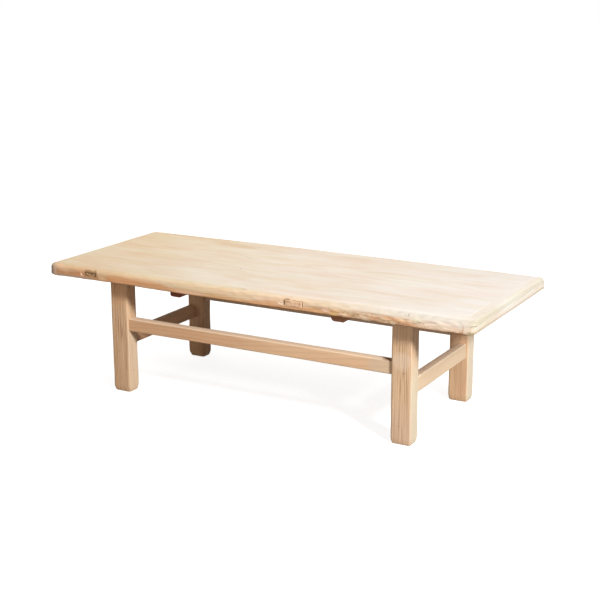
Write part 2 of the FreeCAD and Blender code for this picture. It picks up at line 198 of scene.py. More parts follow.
def rings_of(edges):
    """Like-lying edges sorted into rings that run round the timber across its faces."""
    waiting = set(edges)
    rings = []
    while waiting:
        ring = [waiting.pop()]
        for edge in ring:
            for face in edge.link_faces:
                opposite = [other for other in face.edges if other in waiting
                            and not set(other.verts) & set(edge.verts)]
                ring += opposite
                waiting -= set(opposite)
        rings.append(ring)
    return rings


def push(bm, faces, step):
    """Draw a patch of faces out or in, with walls between its old rim and its new one."""
    moved = bmesh.ops.extrude_face_region(bm, geom=faces)["geom"]
    bmesh.ops.delete(bm, geom=faces, context="FACES")
    verts = [item for item in moved if isinstance(item, bmesh.types.BMVert)]
    bmesh.ops.translate(bm, verts=verts, vec=step)


def weather(bm, grain, seed, groove, swell, lines=100, held=(), form=None):
    """Wear the faces of a timber whose grain runs along an axis: hollow lines in the soft grain, so
    many to the metre, slow swells, and a form of its own. A held face, given as its axis and place,
    stays flat."""
    line_stretch, line_width, breadth_waves = 0.022, 0.16, 24
    swell_stretch, swell_waves = 0.35, 9
    held_depth = 0.0012
    bm.normal_update()
    hollow = bm.verts.layers.float.new("hollow")
    for vert in bm.verts:
        place = vert.co.copy()
        drawn = place.copy()
        drawn[grain] *= line_stretch
        line = abs(noise.noise(drawn * lines + Vector((seed, 0, seed))))
        breadth = 0.5 + 0.5 * noise.noise(drawn * breadth_waves + Vector((0, seed, 7)))
        depth = max(0, 1 - line / line_width) * max(0, breadth)
        slow = place.copy()
        slow[grain] *= swell_stretch
        rise = swell * noise.noise(slow * swell_waves + Vector((3, 5, 1)))
        shift = vert.normal * (rise - groove * depth)
        if form:
            shift += form(place, vert.normal)
        for axis, face_place in held:
            if abs(place[axis] - face_place) < held_depth:
                shift[axis] = 0
        vert.co = place + shift
        vert[hollow] = depth


def piece(name, bm, material, nodes):
    """Make the mesh a piece that stands for CAD nodes and takes its finish from a slot."""
    bmesh.ops.recalc_face_normals(bm, faces=bm.faces)
    if bm.calc_volume(signed=True) < 0:
        bmesh.ops.reverse_faces(bm, faces=bm.faces)
    mesh = bpy.data.meshes.new(name)
    bm.to_mesh(mesh)
    bm.free()
    mesh.shade_smooth()
    mesh.set_sharp_from_angle(angle=math.radians(50))
    mesh.materials.append(material)
    made = bpy.data.objects.new(name, mesh)
    scene.collection.objects.link(made)
    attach(made, "root")
    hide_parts(*nodes)


def smooth_step(low, high, number):
    """0 up to the first number, 1 from the second on, and eased between them."""
    share = min(1, max(0, (number - low) / (high - low)))
    return share * share * (3 - 2 * share)


class Wood:
    """The material of a wood while it is made up: the figure of its grain and its colour so far."""

    def __init__(self, name, grain, seed, ring_width=0.005, crook=0.035):
        self.material = bpy.data.materials.new(name)
        self.tree = bare_tree(self.material)
        self.place = put(self.tree, "TexCoord").outputs["Object"]
        self.x, self.y, self.z = put(self.tree, "SeparateXYZ", {0: self.place}).outputs
        self.hollow = put(self.tree, "Attribute", attribute_name="hollow").outputs["Fac"]
        turn = {0: (0, 0, 0), 1: (0, 0, -math.pi / 2), 2: (0, math.pi / 2, 0)}[grain]
        draw = random.Random(seed)
        start = [draw.uniform(-3, 3) for _ in range(3)]
        self.laid = put(self.tree, "Mapping", {"Vector": self.place, "Rotation": turn,
                                               "Location": start}).outputs[0]
        self.patch = self.cloud(across=9, lengthwise=2.6, detail=2, roughness=0.5, distortion=0.6)
        self.tone = self.cloud(across=26, lengthwise=5, detail=2, roughness=0.5, distortion=0.3)
        self.streak = self.cloud(across=240, lengthwise=5, detail=4, roughness=0.62, distortion=0.4)
        self.fibre = self.cloud(across=900, lengthwise=22, detail=2, roughness=0.6)
        self.crumb = self.cloud(across=320, lengthwise=320, detail=3, roughness=0.6)
        self.early = self.rings(draw, start, ring_width, crook)

    def cloud(self, across, lengthwise, detail, roughness, distortion=0.0):
        """Noise with so many waves to the metre across the grain and along it."""
        drawn = self.vector("MULTIPLY", self.laid, (lengthwise, across, across))
        made = put(self.tree, "TexNoise", {"Vector": drawn, "Scale": 1.0, "Detail": detail,
                                           "Roughness": roughness, "Distortion": distortion})
        return made.outputs["Fac"]

    def lines(self, across, lengthwise, width):
        """1 on thin lines that wander along the grain, from noise with waves as in a cloud."""
        from_middle = self.plus(self.cloud(across, lengthwise, 2, 0.5), -0.5)
        distance = put(self.tree, "Math", {0: from_middle}, operation="ABSOLUTE").outputs[0]
        return self.between(distance, width, 0.0)

    def rings(self, draw, start, ring_width, crook):
        """The soft early wood of growth rings round a slightly crooked and slanting pith."""
        bend_waves = (1.1, 5, 5)
        pith_aside, pith_below = 0.08, 0.16
        pith_slant = (0, 0.02, 0.015)
        wave_length = 0.314  # of the wave texture at a scale of 1
        drawn = self.vector("MULTIPLY", self.laid, bend_waves)
        bend = put(self.tree, "TexNoise", {"Vector": drawn, "Scale": 1.0, "Detail": 3.0,
                                           "Roughness": 0.5})
        bent = self.vector("SUBTRACT", bend.outputs["Color"], (0.5, 0.5, 0.5))
        bent = self.vector("MULTIPLY", bent, (0, crook, crook))
        crooked = self.vector("ADD", bent, self.laid)
        pith = [-start[0], draw.uniform(-pith_aside, pith_aside) - start[1], -pith_below - start[2]]
        moved = self.vector("ADD", crooked, pith)
        slanting = put(self.tree, "Mapping", {"Vector": moved, "Rotation": pith_slant}).outputs[0]
        ring = put(self.tree, "TexWave", {"Vector": slanting, "Scale": wave_length / ring_width,
                                          "Distortion": 0.0},
                   wave_type="RINGS", rings_direction="X", wave_profile="SAW").outputs["Fac"]
        return self.between(ring, 0.45, 1.0)

    def between(self, source, low, high, to_low=0.0, to_high=1.0):
        """Ease a value from 0 at low to 1 at high, or between two other numbers."""
        made = put(self.tree, "MapRange", {"Value": source, "From Min": low, "From Max": high,
                                           "To Min": to_low, "To Max": to_high},
                   interpolation_type="SMOOTHSTEP")
        return made.outputs["Result"]

    def vector(self, how, one, other):
        return put(self.tree, "VectorMath", {0: one, 1: other}, operation=how).outputs[0]

    def times(self, one, other):
        return put(self.tree, "Math", {0: one, 1: other}, operation="MULTIPLY").outputs[0]

    def plus(self, one, other):
        return put(self.tree, "Math", {0: one, 1: other}, operation="ADD").outputs[0]

    def blend(self, share, first, second, how="MIX"):
        return put(self.tree, "Mix", {"Factor": share, 6: first, 7: second},
                   data_type="RGBA", blend_type=how).outputs[2]

    def coat(self, share, colour):
        """Cover a share of the colour so far with another."""
        self.colour = self.blend(share, self.colour, colour)

    def glaze(self, share, tint):
        """Darken a share of the colour so far through a tint."""
        self.colour = self.blend(share, self.colour, tint, "MULTIPLY")

    def raw(self, pale, warm, deep, mottle=0.6, rings=0.5, streaks=0.5, dirt=0.6):
        """Bare wood: pale and warm patches, growth rings and streaks, and dirt in the hollows."""
        patches = self.times(self.between(self.patch, 0.32, 0.68), mottle)
        self.colour = self.blend(patches, pale, warm)
        self.coat(self.times(self.between(self.tone, 0.42, 0.74), mottle * 0.8), warm)
        self.coat(self.times(self.early, rings), deep)
        self.coat(self.times(self.between(self.streak, 0.5, 0.78), streaks), deep)
        self.coat(self.times(self.between(self.hollow, 0.15, 1.0), dirt), deep)

    def spot(self, centre, reach, turn=(0, 0, 0), ragged=0.5, soft=0.5):
        """1 inside a ragged patch with so much reach each way from its centre, and 0 outside."""
        local = put(self.tree, "Mapping", {"Vector": self.place, "Location": centre,
                                           "Rotation": turn, "Scale": reach},
                    vector_type="TEXTURE").outputs[0]
        out = put(self.tree, "VectorMath", {0: local}, operation="LENGTH").outputs["Value"]
        torn = self.times(self.plus(self.crumb, -0.5), ragged * 2)
        return self.between(self.plus(out, torn), 1.0, 1.0 - soft)

    def finish(self, rough=(0.6, 0.84), relief=0.0003, gloss=0.2):
        """Close the material with its roughness, the relief of its fibres in metres, and gloss."""
        height = self.plus(self.times(self.streak, 0.6),
                           self.plus(self.times(self.fibre, 0.35), self.times(self.early, -0.35)))
        bump = put(self.tree, "Bump", {"Height": height, "Strength": 0.7, "Distance": relief * 4})
        grain = self.plus(self.times(self.streak, 0.7), self.times(self.fibre, 0.3))
        shader = put(self.tree, "BsdfPrincipled", {
            "Base Color": self.colour,
            "Roughness": self.between(grain, 0.25, 0.75, *rough),
            "Normal": bump.outputs[0],
            "Specular IOR Level": gloss,
        })
        put(self.tree, "OutputMaterial", {"Surface": shader.outputs[0]})
        return self.material


board_pale = (0.81, 0.62, 0.44, 1)
board_warm = (0.77, 0.53, 0.35, 1)
board_deep = (0.44, 0.25, 0.14, 1)
edge_orange = (0.76, 0.425, 0.235, 1)
wash_left = (0.85, 0.738, 0.566, 1)
wash_middle = (0.925, 0.862, 0.775, 1)
wash_right = (0.927, 0.894, 0.866, 1)
wash_near = (0.95, 0.96, 0.965, 1)
wash_pink = (0.985, 0.93, 0.91, 1)
wash_straw = (0.955, 0.92, 0.82, 1)
wash_grain = (0.86, 0.78, 0.68, 1)
arris_straw = (1.0, 0.885, 0.75, 1)
arris_tan_left = (0.90, 0.86, 0.77, 1)
arris_tan_right = (0.90, 0.90, 0.89, 1)
arris_shade_glaze = (0.88, 0.855, 0.82, 1)
edge_dust = (0.54, 0.44, 0.36, 1)
edge_bottom_shade = (0.50, 0.33, 0.25, 1)
edge_shade = (0.84, 0.79, 0.74, 1)
crest_shade = (0.92, 0.94, 0.93, 1)
left_end_tint = (0.89, 0.93, 0.98, 1)
speck_brown = (0.30, 0.20, 0.14, 1)
chip_pale = (0.90, 0.71, 0.56, 1)
chalky_rough = (0.72, 0.92)
chalky_gloss = 0.07


def wash(wood):
    """The pale wash on top, bleached towards the right, which ends in patches on the front edge:
    high up on it at the left, where the bare wood is orange, and low down at the right. Parts of it
    are stained, dust lies low on the edge, and the arris is tinted and glazed darker, partly as
    painted shade against its highlight. Painted shade also darkens the crest of the edge's
    rounding, a band low on its right, and its bottom."""
    bare_left = wood.between(wood.plus(wood.x, wood.times(wood.tone, 0.2)), -0.1, -0.36)
    wood.coat(wood.times(bare_left, 0.85), edge_orange)
    lowered = wood.plus(wood.between(wood.x, -0.5, -0.08, 0.0, 0.012),
                        wood.between(wood.x, 0.14, 0.28, 0.0, -0.006))
    lowered = wood.plus(lowered, wood.between(wood.x, 0.48, 0.66, 0.0, 0.011))
    ragged = wood.plus(wood.times(wood.patch, 0.020), wood.times(wood.tone, 0.014))
    height = wood.plus(wood.plus(wood.z, lowered), wood.plus(ragged, -0.017))
    washed = wood.between(height, 0.407, 0.424)
    bleached = wood.blend(wood.between(wood.x, -0.75, 0.1), wash_left, wash_middle)
    bleached = wood.blend(wood.between(wood.x, 0.0, 0.75), bleached, wash_right)
    wood.coat(washed, bleached)

    wood.glaze(wood.times(wood.between(wood.patch, 0.35, 0.68), 0.8), wash_pink)
    wood.glaze(wood.times(wood.between(wood.tone, 0.44, 0.72), 0.6), wash_straw)
    unbleached = wood.between(wood.x, 0.05, 0.55, 1.0, 0.5)
    pink_patches = wood.between(wood.cloud(15, 5, 3, 0.55, 0.5), 0.4, 0.65)
    wood.glaze(wood.times(pink_patches, unbleached), wash_pink)
    straw_patches = wood.between(wood.cloud(22, 6, 2, 0.5, 0.4), 0.45, 0.7)
    wood.glaze(wood.times(straw_patches, wood.times(unbleached, 0.6)), wash_straw)
    wood.glaze(wood.times(wood.between(wood.streak, 0.48, 0.75), 0.22), wash_grain)
    wood.glaze(wood.times(wood.early, wood.between(wood.tone, 0.3, 0.6, 0.08, 0.26)), wash_grain)
    wood.glaze(wood.between(wood.y, 0.25, -0.2), wash_near)

    # Painted shade: the arris_shade_glaze dims the highlight that the arris's rounding catches
    # towards the right.
    arris = wood.between(wood.z, 0.4305, 0.422)
    wood.glaze(wood.times(arris, wood.between(wood.x, 0.15, 0.6, 1.0, 0.1)), arris_straw)
    wood.glaze(wood.times(arris, wood.between(wood.x, 0.15, 0.6)), arris_shade_glaze)
    near_arris = wood.times(wood.between(wood.y, -0.284, -0.298),
                            wood.between(wood.z, 0.420, 0.429))
    tan = wood.blend(wood.between(wood.x, -0.35, 0.35), arris_tan_left, arris_tan_right)
    wood.glaze(near_arris, tan)

    dusty = wood.times(wood.between(wood.z, 0.406, 0.395),
                       wood.between(wood.x, -0.2, -0.5, 0.0, 0.5))
    wood.coat(wood.times(dusty, wood.between(wood.tone, 0.35, 0.6, 0.4, 1.0)), edge_dust)
    left_end = wood.times(wood.between(wood.z, 0.421, 0.412), wood.between(wood.x, -0.48, -0.62))
    wood.glaze(left_end, left_end_tint)
    shaded = wood.times(wood.between(wood.z, 0.404, 0.394), wood.between(wood.x, 0.4, 0.55))
    wood.glaze(shaded, edge_shade)
    # Painted shade: the crest of the edge's rounding is glazed darker, against the light it
    # catches.
    crest = wood.times(wood.between(wood.z, 0.414, 0.420), wood.between(wood.z, 0.429, 0.424))
    wood.glaze(wood.times(crest, wood.between(wood.x, 0.15, 0.35)), crest_shade)
    # Painted shade: the bottom of the front edge is glazed darker, most towards the right, where
    # shade lies under the rounding.
    shaded_bottom = wood.times(wood.between(wood.z, 0.3925, 0.389),
                       wood.between(wood.x, -0.5, -0.1, 0.45, 0.8))
    wood.glaze(shaded_bottom, edge_bottom_shade)


def mark(wood, marks):
    """Ragged marks, each with its colour, share, centre and reach, and some with a turn."""
    for colour, share, centre, reach, *turn in marks:
        wood.coat(wood.times(wood.spot(centre, reach, *turn, ragged=0.5, soft=0.45), share), colour)


def washed_elm(name, seed):
    """The wood of one board up to its wash, for its own wear and marks to come on top."""
    wood = Wood(name, grain=0, seed=seed)
    wood.raw(board_pale, board_warm, board_deep, rings=0.3, streaks=0.35)
    wash(wood)
    return wood


def marked_elm(wood, marks):
    """The finished material of a board, with its marks."""
    mark(wood, marks)
    return wood.finish(chalky_rough, relief=0.0002, gloss=chalky_gloss)


back_crown, back_fall = 0.005, 0.0105
front_waver = 0.0016
worn_above = 0.005
planed_front, planed_right_end = 0.0024, 0.0065
corner_worn, corner_swell, corner_flattening = 0.005, 0.0005, 0.12


def top_form(place, normal):
    """The top's own shape: a crowned back edge, and a wavering front one, worn from above on the
    right and planed thinner from below, most of all towards the left. The right end is planed as
    well, and the front left corner is worn round."""
    x, y, z = place
    back = smooth_step(0.1, 0.3, y) * (back_crown - back_fall * (x / 0.76) ** 2)
    front = smooth_step(-0.2, -0.3, y) * front_waver * noise.noise(Vector((x * 4.5, 2, 0)))
    worn = smooth_step(-0.272, -0.306, y) * smooth_step(-0.2, 0.5, x) * smooth_step(0.395, 0.43, z)
    thinner = (planed_front + 0.0018 * smooth_step(-0.22, -0.28, x)
               + 0.0027 * smooth_step(-0.36, -0.44, x))
    thinner -= 0.002 * smooth_step(-0.70, -0.735, x) + 0.0012 * smooth_step(0.53, 0.60, x)
    planed = max(smooth_step(-0.268, -0.300, y) * thinner,
                 smooth_step(0.73, 0.757, x) * planed_right_end)
    planed *= smooth_step(0.408, 0.389, z)
    corner = smooth_step(-0.736, -0.7625, x) * smooth_step(-0.282, -0.306, y)
    flattened = (mid_level - z) * corner_flattening * corner
    return Vector((corner_swell * corner, back + front + corner_worn * corner,
                   planed - worn_above * worn + flattened))


def long_edge(side, upper=None):
    """A test for the long edges on one side of a board, or only the upper or the lower one."""
    return lambda middle, edge: (along(edge, 0) and abs(middle.y - side) < on_face
                                 and upper in (None, middle.z > mid_level))


def board(node, outer=None, net=board_net):
    """The mesh of one board between the end caps, and its faces that stay flat."""
    low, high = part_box(node)
    low.x, high.x = board_ends
    seams = [side for side in (low.y, high.y) if side != outer]
    arrises = []
    if outer is not None:
        arrises += [(long_edge(outer, True), edge_round, edge_round_steps),
                    (long_edge(outer, False), lower_edge_round, edge_round_steps)]
    arrises += [(long_edge(side), seam_easing, 1) for side in seams]
    bm = timber(low, high, arrises, net)
    held = [(1, side) for side in seams] + [(0, end) for end in board_ends]
    return bm, held


old_mortise_depth = 0.023
mortise_refine = 0.016
chips = [(Vector((-0.620, front_edge, 0.407)), Vector((0.008, 0.012, 0.009)), 0.003),
         (Vector((0.139, front_edge, 0.404)), Vector((0.014, 0.012, 0.005)), 0.0016)]


def old_mortise(filled_by, left, right, bottom, top, torn, rim, darkened):
    """The mouth of an old mortise, with how far each side of it lies from its filling's, how far
    its rim is torn, and how wide a rim is darkened and by what share."""
    low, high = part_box(filled_by)
    return (low.x + left, low.z + bottom), (high.x + right, high.z + top), torn, rim, darkened


old_mortises = [
    old_mortise("mortise_stub", left=0.004, right=-0.006, bottom=0.002, top=0.003,
                torn=0.004, rim=0.004, darkened=0.85),
    old_mortise("mortise_plug", left=-0.0025, right=0.0025, bottom=0.001, top=0.0012,
                torn=0.0005, rim=0.0008, darkened=0.7)]

bm, held = board("top_board_front", front_edge, front_board_net)
for low, high, *_ in old_mortises:
    for axis in (0, 1):
        for corner in (low, high):
            spot = Vector((corner[0], 0, corner[1]))
            across = Vector((1 - axis, 0, axis))
            nearby = bm.verts[:] + bm.edges[:] + bm.faces[:]
            bmesh.ops.bisect_plane(bm, geom=nearby, dist=1e-6, plane_co=spot, plane_no=across)
    close = [edge for edge in bm.edges
             if all(vert.co.y < front_edge + edge_round / 2
                    and low[0] - 1.6 * mortise_refine < vert.co.x < high[0] + mortise_refine
                    and low[1] - mortise_refine / 2 < vert.co.z < high[1] + mortise_refine / 2
                    for vert in edge.verts)]
    bmesh.ops.subdivide_edges(bm, edges=close, cuts=2, use_grid_fill=True)
    mouth = [face for face in bm.faces
             if abs(face.calc_center_median().y - front_edge) < on_face
             and low[0] < face.calc_center_median().x < high[0]
             and low[1] < face.calc_center_median().z < high[1]]
    push(bm, mouth, Vector((0, old_mortise_depth, 0)))


def front_form(place, normal):
    """Wear of the front board: the top's form, a rough dented edge, chips and torn mortises."""
    edge_depth, torn_reach = 0.025, 0.006
    shift = top_form(place, normal)
    if place.y > front_edge + edge_depth:
        return shift
    near = smooth_step(-0.280, -0.300, place.y)
    rough = smooth_step(-0.1, 0.55, place.x) * 0.0012 + 0.0008
    dent = noise.noise(Vector((place.x * 38, place.y * 90, place.z * 90)))
    small_dent = noise.noise(Vector((place.x * 85, 3, place.z * 170)))
    dent += 0.5 * smooth_step(0.15, 0.4, place.x) * small_dent
    shift += normal * near * rough * (dent - 0.25)
    for centre, reach, depth in chips:
        away = Vector(((place - centre)[axis] / reach[axis] for axis in range(3))).length
        away += 0.35 * noise.noise(place * 260)
        shift.y += depth * smooth_step(1.0, 0.35, away)
    for low, high, torn, *_ in old_mortises:
        beyond = max(low[0] - place.x, place.x - high[0], low[1] - place.z, place.z - high[1])
        if abs(beyond) < torn_reach:
            tear = smooth_step(torn_reach, 0.0, abs(beyond)) * torn
            shift.x += tear * noise.noise(Vector((place.x * 70, 1, place.z * 240)))
            shift.z += tear * noise.noise(Vector((place.x * 240, 8, place.z * 70)))
    return shift


weather(bm, grain=0, seed=2, groove=0.0004, swell=0.0009, held=held, form=front_form)

straw = (0.80, 0.68, 0.46, 1)
green_straw = (0.80, 0.79, 0.58, 1)
corner_orange = (0.82, 0.53, 0.35, 1)
edge_warm = (0.93, 0.64, 0.42, 1)
worn_pink = (0.86, 0.61, 0.49, 1)
worn_pale = (0.94, 0.75, 0.60, 1)
torn_brown = (0.36, 0.23, 0.12, 1)
crack_brown = (0.38, 0.22, 0.13, 1)
mortise_brown = (0.20, 0.125, 0.065, 1)
rust = (0.64, 0.35, 0.22, 1)
gold = (0.70, 0.46, 0.20, 1)
top_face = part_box("top_board_front")[1].z


def on_edge(colour, share, x, z, across, up, turn=0, into=0.03):
    """A mark on the front edge of the top, with its reach across it, up it and into it."""
    return colour, share, (x, front_edge, z), (across, into, up), (0, turn, 0)


front_marks = [
    on_edge(edge_orange, 0.6, -0.46, 0.410, 0.075, 0.009),
    (edge_orange, 0.5, (-0.620, -0.302, 0.419), (0.085, 0.02, 0.010), (0, 0.04, 0)),
    on_edge(edge_warm, 0.4, -0.385, 0.416, 0.10, 0.010, turn=0.03),
    on_edge(edge_orange, 0.35, -0.215, 0.403, 0.08, 0.011),
    on_edge(edge_orange, 0.35, 0.310, 0.406, 0.05, 0.007),
    on_edge(edge_warm, 0.3, 0.42, 0.411, 0.13, 0.005, turn=0.02),
    on_edge(worn_pale, 0.35, 0.65, 0.411, 0.09, 0.005),
    on_edge(edge_warm, 0.35, -0.10, 0.413, 0.16, 0.008),
    on_edge(edge_warm, 0.3, 0.12, 0.413, 0.14, 0.006),
    on_edge(edge_warm, 0.4, 0.545, 0.408, 0.05, 0.007),
    (corner_orange, 0.7, (-0.705, -0.300, 0.419), (0.040, 0.02, 0.013), (0, 0.25, 0)),
    on_edge(straw, 0.35, -0.541, 0.409, 0.030, 0.018),
    on_edge(edge_orange, 0.65, 0.080, 0.400, 0.085, 0.0085, turn=-0.1),
    on_edge(worn_pink, 0.5, -0.19, 0.396, 0.075, 0.005),
    on_edge(straw, 0.5, -0.20, 0.408, 0.11, 0.008),
    on_edge(worn_pink, 0.8, 0.290, 0.403, 0.017, 0.007),
    on_edge(gold, 0.8, 0.320, 0.395, 0.015, 0.009),
    on_edge(chip_pale, 0.8, 0.346, 0.3975, 0.016, 0.0024, turn=0.1),
    on_edge(speck_brown, 0.7, 0.383, 0.3975, 0.010, 0.0024),
    on_edge(straw, 0.6, 0.345, 0.411, 0.04, 0.004, turn=-0.08),
    on_edge(rust, 0.75, 0.455, 0.400, 0.020, 0.006),
    on_edge(edge_orange, 0.7, 0.51, 0.404, 0.045, 0.007, turn=0.12),
    on_edge(worn_pink, 0.7, 0.415, 0.398, 0.020, 0.004),
    on_edge(edge_orange, 0.6, 0.56, 0.399, 0.040, 0.004, turn=0.1),
    on_edge(green_straw, 0.65, 0.585, 0.411, 0.018, 0.006),
    on_edge(green_straw, 0.6, 0.665, 0.402, 0.026, 0.005, turn=0.2),
    on_edge(worn_pink, 0.5, 0.608, 0.401, 0.014, 0.005),
    on_edge(speck_brown, 0.85, 0.669, 0.3935, 0.022, 0.0026, turn=0.28),
    on_edge(rust, 0.6, 0.705, 0.396, 0.013, 0.006),
    on_edge(rust, 0.6, 0.555, 0.3925, 0.035, 0.004),
    on_edge(worn_pale, 0.6, 0.655, 0.3985, 0.085, 0.012),
    on_edge(speck_brown, 0.6, 0.606, 0.4025, 0.003, 0.0022),
    on_edge(speck_brown, 0.5, 0.622, 0.397, 0.004, 0.0018, turn=0.3),
    on_edge(chip_pale, 0.5, -0.620, 0.406, 0.008, 0.009, turn=-0.4, into=0.02),
    on_edge(chip_pale, 0.75, 0.139, 0.404, 0.016, 0.005, turn=0.1, into=0.02),
    on_edge(chip_pale, 0.5, -0.297, 0.417, 0.010, 0.0025, into=0.02),
    on_edge(torn_brown, 0.7, -0.592, 0.420, 0.022, 0.0055, turn=0.05, into=0.02),
    on_edge(torn_brown, 0.85, -0.566, 0.413, 0.009, 0.016, into=0.02),
    on_edge(torn_brown, 0.5, -0.584, 0.4015, 0.026, 0.005, turn=0.1, into=0.02),
    on_edge(torn_brown, 0.9, 0.1515, 0.410, 0.0030, 0.011, into=0.02),
    on_edge(torn_brown, 0.85, 0.161, 0.4195, 0.012, 0.0026, into=0.02),
    on_edge(torn_brown, 0.5, 0.183, 0.4185, 0.006, 0.0016, into=0.02),
    on_edge(torn_brown, 0.7, 0.2125, 0.409, 0.0018, 0.009, into=0.02),
    on_edge(torn_brown, 0.6, -0.557, 0.4025, 0.006, 0.007, turn=-0.5, into=0.02),
    (speck_brown, 0.5, (0.172, -0.301, 0.4265), (0.018, 0.004, 0.0016)),
    (speck_brown, 0.35, (0.003, -0.297, 0.4295), (0.014, 0.003, 0.004), (0, 0, 0.15)),
    (speck_brown, 0.8, (0.558, -0.302, 0.424), (0.0018, 0.006, 0.006)),
    (speck_brown, 0.7, (0.302, -0.302, 0.412), (0.0025, 0.006, 0.0025)),
    (speck_brown, 0.5, (0.363, -0.304, 0.400), (0.003, 0.006, 0.003)),
    (chip_pale, 0.5, (0.101, -0.1455, top_face), (0.12, 0.006, 0.01), (0, 0, -0.205)),
    (chip_pale, 0.5, (0.427, -0.187, top_face), (0.13, 0.005, 0.01), (0, 0, -0.026)),
]

wood = washed_elm("washed_elm_front", 11)
for low, high, torn, rim, darkened in old_mortises:
    inside = wood.between(wood.y, front_edge + 0.001, front_edge + 0.003)
    for source, first, last in ((wood.x, low[0], high[0]), (wood.z, low[1], high[1])):
        inside = wood.times(inside, wood.between(source, first - rim - 0.001, first - rim))
        inside = wood.times(inside, wood.between(source, last + rim + 0.001, last + rim))
    wood.coat(wood.times(inside, darkened), mortise_brown)
rugged = wood.times(wood.between(wood.x, 0.15, 0.42), wood.between(wood.z, 0.417, 0.408))
for across, lengthwise, share, colour in ((150, 45, 0.6, rust),
                                          (190, 60, 0.5, chip_pale),
                                          (120, 70, 0.5, green_straw)):
    patches = wood.between(wood.cloud(across, lengthwise, 3, 0.6, 1.0), 0.54, 0.66)
    wood.coat(wood.times(wood.times(rugged, patches), share), colour)
cracks = wood.times(wood.lines(95, 11, 0.03), wood.between(wood.tone, 0.4, 0.6, 0.1, 0.75))
wood.coat(wood.times(wood.times(rugged, wood.between(wood.z, 0.412, 0.404)), cracks), crack_brown)
piece("front_board", bm, marked_elm(wood, front_marks), ["top_board_front"])

bare_tan = (0.80, 0.61, 0.43, 1)
middle_marks = [(speck_brown, 0.7, (-0.147, -0.073, top_face), (0.006, 0.002, 0.005),
                 (0, 0, -0.5))]
back_marks = [(bare_tan, 0.75, (-0.355, 0.228, top_face), (0.130, 0.026, 0.03), (0, 0, -0.19)),
              (bare_tan, 0.45, (-0.185, 0.214, top_face), (0.060, 0.016, 0.03))]

for where, outer, wear_seed, wood_seed, marks in (("middle", None, 9, 23, middle_marks),
                                                  ("back", back_edge, 15, 37, back_marks)):
    bm, held = board(f"top_board_{where}", outer)
    weather(bm, grain=0, seed=wear_seed, groove=0.0003, swell=0.0009, held=held, form=top_form)
    elm = marked_elm(washed_elm(f"washed_elm_{where}", wood_seed), marks)
    piece(f"{where}_board", bm, elm, [f"top_board_{where}"])


# The pins between the boards. Split bamboo, shaved round and driven into bored holes in the edges
# of the boards, which hides them.
bamboo_pale = (0.55, 0.36, 0.17, 1)
bamboo_dark = (0.34, 0.19, 0.08, 1)
bamboo_waves_along, bamboo_waves_across = 30, 900


def bamboo(name, along_axis):
    """Bamboo whose fibres run along an axis."""
    material = bpy.data.materials.new(name)
    tree = bare_tree(material)
    place = put(tree, "TexCoord").outputs["Object"]
    waves = [bamboo_waves_along if axis == along_axis else bamboo_waves_across for axis in range(3)]
    drawn = put(tree, "VectorMath", {0: place, 1: waves}, operation="MULTIPLY").outputs[0]
    fibre = put(tree, "TexNoise", {"Vector": drawn, "Scale": 1.0, "Detail": 3.0}).outputs["Fac"]
    colour = put(tree, "Mix", {"Factor": fibre, 6: bamboo_pale, 7: bamboo_dark},
                 data_type="RGBA").outputs[2]
    bump = put(tree, "Bump", {"Height": fibre, "Strength": 0.6, "Distance": 0.0008}).outputs[0]
    rough = put(tree, "MapRange", {"Value": fibre, "To Min": 0.35, "To Max": 0.65}).outputs[0]
    shader = put(tree, "BsdfPrincipled", {"Base Color": colour, "Roughness": rough, "Normal": bump})
    put(tree, "OutputMaterial", {"Surface": shader.outputs[0]})
    return material


def finish_node(node, material):
    """Give a CAD node that shows as it is its own finish."""
    shown_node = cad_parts[node]
    for material_slot in shown_node.material_slots:
        material_slot.material = material


finish_node("board_pins", bamboo("bamboo_across_seams", 1))


# The two end caps. Elm bars across the ends of the boards, grooved for the boards' tongues and
# tenons, with their outer edges and corners worn round.
cap_net = (0.0026, 0.007, 0.0024)
beside_joint = 0.005
cap_pale = (0.80, 0.60, 0.41, 1)
cap_warm = (0.74, 0.49, 0.30, 1)
corner_painted_shade = (0.60, 0.47, 0.40, 1)
corner_painted_light = (0.95, 0.89, 0.84, 1)
corner_straw = (0.94, 0.925, 0.875, 1)
end_arris_shade = (0.85, 0.87, 0.84, 1)
end_tint = (0.96, 1, 1, 1)
cap_olive = (0.45, 0.38, 0.20, 1)

